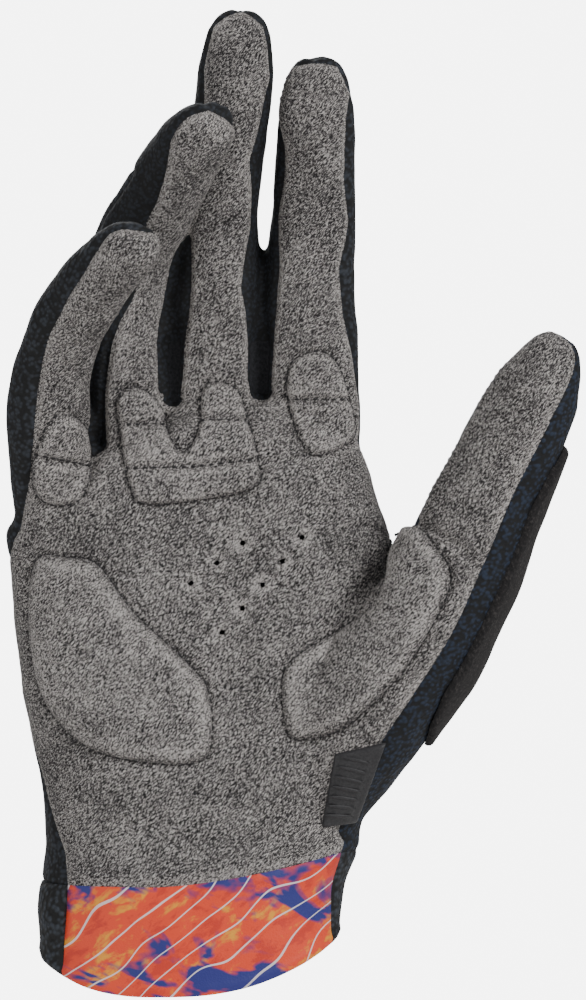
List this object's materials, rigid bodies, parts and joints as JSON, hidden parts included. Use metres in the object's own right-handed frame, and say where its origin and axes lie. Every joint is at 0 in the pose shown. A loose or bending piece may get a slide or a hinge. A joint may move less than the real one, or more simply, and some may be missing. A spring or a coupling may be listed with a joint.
{
  "type": "long-finger cycling glove, right hand",
  "caption": "Long-finger cycling glove for the right hand in its worn shape: suede palm with stitched pads, knit back, napped thumb patch and printed stretch cuff.",
  "frame": {"origin": "middle of the wrist opening, where the glove sits on the wrist", "axes": "+X towards the thumb's side, -Y out of the palm, +Z towards the fingertips"},
  "size_m": [0.1364, 0.0717, 0.2343],
  "materials": {
    "palm_suede": "grey heathered microsuede with short nap",
    "pad_suede": "the same microsuede drawn over foam, stitched round",
    "back_knit": "black ribbed stretch knit, matte",
    "side_knit": "dark stretch knit, matte",
    "thumb_knit": "dark navy pebbled knit, matte",
    "wipe_pile": "charcoal short pile, brushed",
    "tab_rubber": "dark moulded rubber, satin",
    "cuff_print": "slick printed stretch band, satin",
    "cuff_mesh": "black open elastic mesh, matte"
  },
  "bodies": {
    "root": {"palm_panel": "palm_suede", "pad_index": "pad_suede", "pad_knuckle": "pad_suede", "pad_little": "pad_suede", "pad_heel": "pad_suede", "pad_thumb": "pad_suede", "back_panel": "back_knit", "side_index_middle": "side_knit", "side_middle_ring": "side_knit", "side_ring_little": "side_knit", "thumb_back": "thumb_knit", "thumb_wipe": "wipe_pile", "grip_tab": "tab_rubber", "cuff_front": "cuff_print", "cuff_back": "cuff_mesh"}
  },
  "joints": []
}
